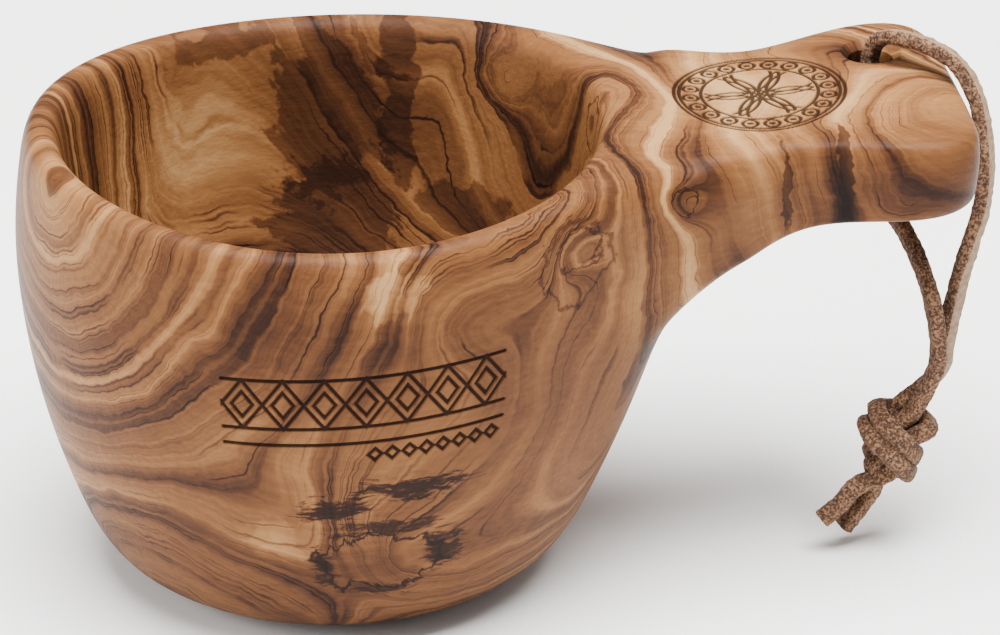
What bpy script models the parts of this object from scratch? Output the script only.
"""A kuksa: a drinking cup carved, bowl and handle together, from one block of olive wood.

A leather lace runs through a hole near the end of the handle, over the handle's end and back
under it, and its two ends are tied together in one overhand knot below the handle.

Metres, +Z up. The origin is the middle of the flat that the cup stands on, and the handle
points along +X. The bowl's axis is the Z axis.
"""
import math

import bmesh
import bpy
from mathutils import Matrix, Vector

MM = 0.001

# ---- Driving dimensions -------------------------------------------------------------------

BOWL_RADIUS = 48.2 * MM        # outside, at its widest
BOWL_OVAL = 0.985              # width across the handle's line, over the length along it
CUP_HEIGHT = 73.0 * MM         # mean height of the rim's cage
RIM_TILT = 0.3 * MM            # how much higher the rim is at the handle than opposite it
RIM_DIP = 1.8 * MM             # how far the rim dips at the two sides

# The bowl's outside from the foot to the rim, and its inside from the rim to the floor, as
# (radius / BOWL_RADIUS, height / CUP_HEIGHT). The first two outer rings lie flat on the ground.
OUTER_PROFILE = (
    (0.34, 0.0), (0.53, 0.0), (0.745, 0.055), (0.845, 0.205), (0.94, 0.405),
    (0.99, 0.60), (1.005, 0.765), (0.98, 0.915), (0.955, 1.0),
)
INNER_PROFILE = (
    (0.87, 1.0), (0.84, 0.94), (0.812, 0.78), (0.755, 0.575), (0.62, 0.36), (0.41, 0.215),
    (0.20, 0.165),
)
FLOOR_HEIGHT = 0.16            # middle of the floor, as a fraction of CUP_HEIGHT

COLUMNS = 6                    # cage columns over half the bowl
ROOT_ROW = 5                   # the handle grows out of the rings from this one to the crest
CREST_ROW = 8

# How far the foot of the handle flares out of the bowl's wall: for each ring, along X on the
# handle's own line, along X at the next column, and along Y at that column.
ROOT_FLARE = {
    2: (0.3 * MM, 0.1 * MM, 0.0),
    3: (1.0 * MM, 0.6 * MM, 0.2 * MM),
    4: (3.0 * MM, 1.8 * MM, 0.6 * MM),
    5: (5.5 * MM, 3.2 * MM, 1.2 * MM),
    6: (0.0, 2.6 * MM, 2.0 * MM),
    7: (0.0, 2.6 * MM, 2.4 * MM),
    8: (0.0, 2.6 * MM, 2.4 * MM),
}
NO_FLARE = (0.0, 0.0, 0.0)

# Sections across the handle: x at its top, x at its underside, half width of the top and of
# the underside, height of the top and of the underside.
HANDLE_SECTIONS = (
    (51.5 * MM, 59.5 * MM, 24.2 * MM, 20.5 * MM, 73.2 * MM, 50.8 * MM),
    (59.5 * MM, 65.2 * MM, 20.8 * MM, 17.8 * MM, 72.9 * MM, 54.1 * MM),
    (67.5 * MM, 71.5 * MM, 18.4 * MM, 16.2 * MM, 73.0 * MM, 56.3 * MM),
    (76.5 * MM, 78.5 * MM, 21.2 * MM, 18.8 * MM, 73.9 * MM, 57.7 * MM),
    (86.0 * MM, 87.0 * MM, 24.7 * MM, 22.5 * MM, 74.4 * MM, 58.6 * MM),
    (93.8 * MM, 93.5 * MM, 24.3 * MM, 22.2 * MM, 74.2 * MM, 59.6 * MM),
    (97.4 * MM, 97.2 * MM, 20.0 * MM, 18.0 * MM, 73.0 * MM, 60.8 * MM),
)
HANDLE_END = 98.2 * MM        # the middle of the handle's end face
EDGE_CREASE = 0.40             # how crisp the handle's long edges are, 0 to 1
UNDER_CREASE = 0.25

SURFACE_LEVELS = 2

TOP_ROUNDING = 1.0 * MM        # how far the top's edge points come in from the sides,
TOP_FALL = 0.3 * MM            # and lie below the middle of the top
UNDER_LIFT = 0.4 * MM          # how far the underside's edge points lie above its middle
SIDE_BULGE = 0.5 * MM          # how far the sides' own points stand out

HOLE_AT = (86.0 * MM, 11.0 * MM)
HOLE_RADIUS = 3.5 * MM
HOLE_CHAMFER = 0.6 * MM
HOLE_MID_HEIGHT = 66.5 * MM
HALF_BORE = 7.0 * MM           # from the hole's middle to where its chamfers open out
CUTTER_REACH = 6.0 * MM        # how far the cutter stands out past the wood
CUTTER_SIDES = 32

LACE_DIAMETER = 2.9 * MM
LACE_SPACING = 2.0 * LACE_DIAMETER
CLEARANCE = 0.3 * MM           # between pieces that meet
MERGE = 0.00001                # points closer than this, in metres, become one

# The knot is an egg that leans down towards the handle's end.
KNOT_CENTRE = Vector((86.3, -13.2, 18.4)) * MM
KNOT_HALF_SIZE = Vector((6.6, 5.2, 5.6)) * MM
KNOT_LEAN = math.radians(24.0)

# Where the lace runs, in millimetres. Each stretch starts or ends inside the knot, and is cut
# off at the knot's skin.
OVER_ROUTE = (
    (86.0, 11.0, 66.65), (86.0, 11.0, 70.5), (86.1, 10.9, 74.0), (87.4, 9.2, 77.0),
    (90.3, 6.0, 78.1), (93.8, 2.6, 77.9), (97.4, -0.6, 75.9), (99.7, -3.6, 71.6),
    (100.5, -6.0, 66.2), (100.6, -7.6, 61.0), (99.9, -8.7, 55.5), (98.3, -9.6, 50.2),
    (96.6, -10.2, 44.5), (95.4, -10.8, 39.0), (94.4, -11.2, 33.9), (93.4, -11.4, 29.0),
    (91.8, -11.4, 25.6), (89.4, -11.7, 22.5), (87.0, -12.4, 19.5),
)
UNDER_ROUTE = (
    (86.0, 11.0, 66.35), (86.0, 11.0, 62.5), (86.0, 10.8, 58.5), (86.3, 9.2, 55.0),
    (87.0, 5.5, 52.6), (88.0, 1.2, 51.2), (89.2, -3.0, 49.6), (90.5, -7.0, 46.9),
    (91.6, -10.4, 43.2), (92.3, -12.9, 39.3), (92.6, -14.3, 35.0), (92.2, -14.6, 30.8),
    (90.7, -14.6, 27.0), (88.6, -14.2, 23.6), (86.5, -13.4, 19.5),
)
LEFT_TAIL_ROUTE = (
    (86.0, -13.8, 18.0), (84.2, -14.4, 15.8), (82.0, -14.7, 13.3), (79.4, -14.8, 10.1),
    (77.0, -14.8, 7.6), (74.9, -14.8, 6.1),
)
RIGHT_TAIL_ROUTE = (
    (87.0, -12.6, 16.5), (85.6, -12.6, 13.4), (84.0, -12.6, 11.0), (82.0, -12.6, 7.9),
    (80.3, -12.6, 5.3), (78.8, -12.6, 2.9),
)

# The lace swings in its hole about a level line through the middle of the hole. Seen from
# above, the line points from the hole to the spot over the hanging knot's weight.
SWING_CENTRE = Vector((*HOLE_AT, HOLE_MID_HEIGHT))


# ---- Small helpers ------------------------------------------------------------------------

def clear_scene():
    for item in list(bpy.data.objects):
        bpy.data.objects.remove(item, do_unlink=True)


def collection(name):
    made = bpy.data.collections.new(name)
    bpy.context.scene.collection.children.link(made)
    return made


def material(name, colour, roughness):
    made = bpy.data.materials.new(name)
    made.use_nodes = True
    shader = made.node_tree.nodes["Principled BSDF"]
    shader.inputs["Base Color"].default_value = (*colour, 1.0)
    shader.inputs["Roughness"].default_value = roughness
    shader.inputs["Metallic"].default_value = 0.0
    return made


def mesh_object(name, mesh, home, finish=None):
    made = bpy.data.objects.new(name, mesh)
    home.objects.link(made)
    if finish:
        mesh.materials.append(finish)
    return made


# ---- The cup body -------------------------------------------------------------------------

class Cage:
    """Control points, faces and creases of the half of the cup at y >= 0."""

    def __init__(self):
        self.points = []
        self.faces = []
        self.creases = []

    def add(self, x, y, z):
        self.points.append((x, max(y, 0.0), z))
        return len(self.points) - 1

    def ring(self, radius, height, flare):
        """One half ring of the bowl, from the handle's line round to the far side."""
        step = math.pi / COLUMNS
        stand_off = 3.0 / (2.0 + math.cos(step))
        rim_share = (height / CUP_HEIGHT) ** 3
        made = []
        for column in range(COLUMNS + 1):
            turn = column * step
            reach = radius * stand_off
            x = reach * math.cos(turn)
            y = reach * BOWL_OVAL * math.sin(turn) if 0 < column < COLUMNS else 0.0
            if column == 0:
                x += flare[0]
            if column == 1:
                x += flare[1]
                y += flare[2]
            z = height + rim_share * (RIM_TILT * math.cos(turn) + RIM_DIP * math.cos(2 * turn))
            made.append(self.add(x, y, z))
        return made

    def disc(self, ring, centre, facing_up):
        """Close a ring with quads that meet at a centre point."""
        for column in range(0, COLUMNS, 2):
            face = [centre, ring[column + 2], ring[column + 1], ring[column]]
            self.faces.append(face[::-1] if facing_up else face)


def bowl_rings(cage):
    rings = []
    for row, (radius, height) in enumerate(OUTER_PROFILE + INNER_PROFILE):
        flare = ROOT_FLARE.get(row, NO_FLARE)
        rings.append(cage.ring(radius * BOWL_RADIUS, height * CUP_HEIGHT, flare))
    return rings


def bowl_faces(cage, rings):
    for row in range(len(rings) - 1):
        for column in range(COLUMNS):
            if column == 0 and ROOT_ROW <= row < CREST_ROW:
                continue
            lower, upper = rings[row], rings[row + 1]
            cage.faces.append([lower[column], lower[column + 1], upper[column + 1], upper[column]])
    cage.disc(rings[0], cage.add(0.0, 0.0, 0.0), facing_up=False)
    cage.disc(rings[-1], cage.add(0.0, 0.0, FLOOR_HEIGHT * CUP_HEIGHT), facing_up=True)


def handle_section(cage, x_top, x_under, half_top, half_under, top, under):
    """Half an outline across the handle, from the middle of its top to that of its underside."""
    slope = x_under - x_top
    depth = top - under
    side = max(half_top, half_under) + SIDE_BULGE
    return [
        cage.add(x_top, 0.0, top),
        cage.add(x_top, half_top - TOP_ROUNDING, top - TOP_FALL),
        cage.add(x_top + slope / 3, side, top - depth / 3),
        cage.add(x_top + 2 * slope / 3, (side + half_under) / 2, top - 2 * depth / 3),
        cage.add(x_under, half_under, under + UNDER_LIFT),
        cage.add(x_under, 0.0, under),
    ]


def handle_faces(cage, rings):
    root = [rings[CREST_ROW][0]] + [rings[row][1] for row in range(CREST_ROW, ROOT_ROW - 1, -1)]
    root.append(rings[ROOT_ROW][0])
    sections = [root] + [handle_section(cage, *section) for section in HANDLE_SECTIONS]
    for inner, outer in zip(sections, sections[1:]):
        for side in range(len(root) - 1):
            cage.faces.append([inner[side], outer[side], outer[side + 1], inner[side + 1]])
    for inner, outer in zip(sections[1:], sections[2:]):
        cage.creases.append((inner[1], outer[1], EDGE_CREASE))
        cage.creases.append((inner[4], outer[4], UNDER_CREASE))
    end = sections[-1]
    for first, second in zip(end, end[1:]):
        cage.creases.append((first, second, UNDER_CREASE))
    *_, top, under = HANDLE_SECTIONS[-1]
    upper = cage.add(HANDLE_END, 0.0, top - (top - under) / 3)
    lower = cage.add(HANDLE_END, 0.0, under + (top - under) / 3)
    cage.faces.append([end[0], upper, end[2], end[1]])
    cage.faces.append([upper, lower, end[3], end[2]])
    cage.faces.append([lower, end[5], end[4], end[3]])


def lace_hole_cutter(home):
    """A round bore with a chamfer at each mouth, turned about its own axis."""
    wide = HOLE_RADIUS + HOLE_CHAMFER + CUTTER_REACH
    high = HALF_BORE + CUTTER_REACH
    outline = [
        (0.0, high), (wide, high), (HOLE_RADIUS, HALF_BORE - HOLE_CHAMFER),
        (HOLE_RADIUS, HOLE_CHAMFER - HALF_BORE), (wide, -high), (0.0, -high),
    ]
    mesh = bpy.data.meshes.new("lace_hole_cutter")
    edges = [(first, first + 1) for first in range(len(outline) - 1)]
    mesh.from_pydata([(radius, 0.0, height) for radius, height in outline], edges, [])
    cutter = mesh_object("lace_hole_cutter", mesh, home)
    cutter.location = (*HOLE_AT, HOLE_MID_HEIGHT)
    turn = cutter.modifiers.new("turn", "SCREW")
    turn.axis = "Z"
    turn.steps = CUTTER_SIDES
    turn.render_steps = CUTTER_SIDES
    turn.use_merge_vertices = True
    turn.merge_threshold = MERGE
    cutter.display_type = "WIRE"
    cutter.hide_render = True
    return cutter


def cup_body(home, cutters, finish):
    cage = Cage()
    rings = bowl_rings(cage)
    bowl_faces(cage, rings)
    handle_faces(cage, rings)
    mesh = bpy.data.meshes.new("cup_body")
    mesh.from_pydata(cage.points, [], cage.faces)
    crease = mesh.attributes.new("crease_edge", "FLOAT", "EDGE")
    wanted = {frozenset((first, second)): value for first, second, value in cage.creases}
    for edge in mesh.edges:
        crease.data[edge.index].value = wanted.get(frozenset(edge.vertices), 0.0)
    body = mesh_object("cup_body", mesh, home, finish)
    mirror = body.modifiers.new("other_half", "MIRROR")
    mirror.use_axis = (False, True, False)
    mirror.use_clip = True
    mirror.merge_threshold = MERGE
    smooth = body.modifiers.new("carved_surface", "SUBSURF")
    smooth.levels = SURFACE_LEVELS
    smooth.render_levels = SURFACE_LEVELS
    hole = body.modifiers.new("lace_hole", "BOOLEAN")
    hole.operation = "DIFFERENCE"
    hole.solver = "EXACT"
    hole.object = lace_hole_cutter(cutters)
    mesh.shade_smooth()
    return body


# ---- The lace -----------------------------------------------------------------------------

def smooth_curve(route, steps=24):
    """Points close together along a smooth curve through the route's own points."""
    points = [Vector(point) * MM for point in route]
    ends = [2 * points[0] - points[1]] + points + [2 * points[-1] - points[-2]]
    curve = []
    for before, here, there, after in zip(ends, ends[1:], ends[2:], ends[3:]):
        for step in range(steps):
            t = step / steps
            curve.append(0.5 * (
                2 * here + (there - before) * t
                + (2 * before - 5 * here + 4 * there - after) * t ** 2
                + (3 * here - before - 3 * there + after) * t ** 3))
    curve.append(points[-1])
    return curve


def knot_frame():
    """The knot's own axes in the cup's frame."""
    return Matrix.Translation(KNOT_CENTRE) @ Matrix.Rotation(KNOT_LEAN, 4, "Y")


def outside_knot(curve):
    """The part of a curve whose tube stays clear of the knot."""
    to_knot = knot_frame().inverted()
    margin = 3 * CLEARANCE
    reach = [half + margin for half in KNOT_HALF_SIZE]
    kept = []
    for point in curve:
        local = to_knot @ point
        if sum((value / limit) ** 2 for value, limit in zip(local, reach)) > 1.0:
            kept.append(point)
    return kept


def evenly_spaced(curve, spacing):
    """Points along the curve at equal steps that divide its length."""
    reached = [0.0]
    for first, second in zip(curve, curve[1:]):
        reached.append(reached[-1] + (second - first).length)
    count = max(2, round(reached[-1] / spacing))
    points = [curve[0]]
    for index in range(1, count):
        wanted = reached[-1] * index / count
        after = next(place for place, length in enumerate(reached) if length >= wanted)
        share = (wanted - reached[after - 1]) / (reached[after] - reached[after - 1])
        points.append(curve[after - 1].lerp(curve[after], share))
    return points + [curve[-1]]


def lace_tube(name, route, home, pivot, finish):
    points = evenly_spaced(outside_knot(smooth_curve(route)), LACE_SPACING)
    data = bpy.data.curves.new(name, "CURVE")
    data.dimensions = "3D"
    data.bevel_depth = LACE_DIAMETER / 2
    data.bevel_resolution = 2
    data.use_fill_caps = True
    spline = data.splines.new("POLY")
    spline.points.add(len(points) - 1)
    for place, point in zip(spline.points, points):
        place.co = (*(point - SWING_CENTRE), 1.0)
    data.materials.append(finish)
    tube = bpy.data.objects.new(name, data)
    home.objects.link(tube)
    tube.parent = pivot
    return tube


def lace_knot(home, pivot, finish):
    mesh = bpy.data.meshes.new("lace_knot")
    shape = bmesh.new()
    bmesh.ops.create_uvsphere(shape, u_segments=20, v_segments=12, radius=1.0)
    to_cup = knot_frame() @ Matrix.Diagonal((*KNOT_HALF_SIZE, 1.0))
    bmesh.ops.transform(shape, matrix=Matrix.Translation(-SWING_CENTRE) @ to_cup, verts=shape.verts)
    shape.to_mesh(mesh)
    shape.free()
    mesh.shade_smooth()
    knot = mesh_object("lace_knot", mesh, home, finish)
    knot.parent = pivot
    return knot


def lace(home, finish):
    """The lace's stretches and its knot, which swing together."""
    pivot = bpy.data.objects.new("lace_pivot", None)
    home.objects.link(pivot)
    pivot.location = SWING_CENTRE
    lace_tube("lace_over", OVER_ROUTE, home, pivot, finish)
    lace_tube("lace_under", UNDER_ROUTE, home, pivot, finish)
    lace_tube("lace_tail_left", LEFT_TAIL_ROUTE, home, pivot, finish)
    lace_tube("lace_tail_right", RIGHT_TAIL_ROUTE, home, pivot, finish)
    lace_knot(home, pivot, finish)


# ---- Building -----------------------------------------------------------------------------

def main():
    clear_scene()
    cup = collection("kuksa_cup")
    cutters = collection("cutters")
    olive_wood = material("olive_wood", (0.47, 0.29, 0.15), 0.5)
    leather = material("lace_leather", (0.36, 0.21, 0.12), 0.8)
    cup_body(cup, cutters, olive_wood)
    lace(cup, leather)


main()
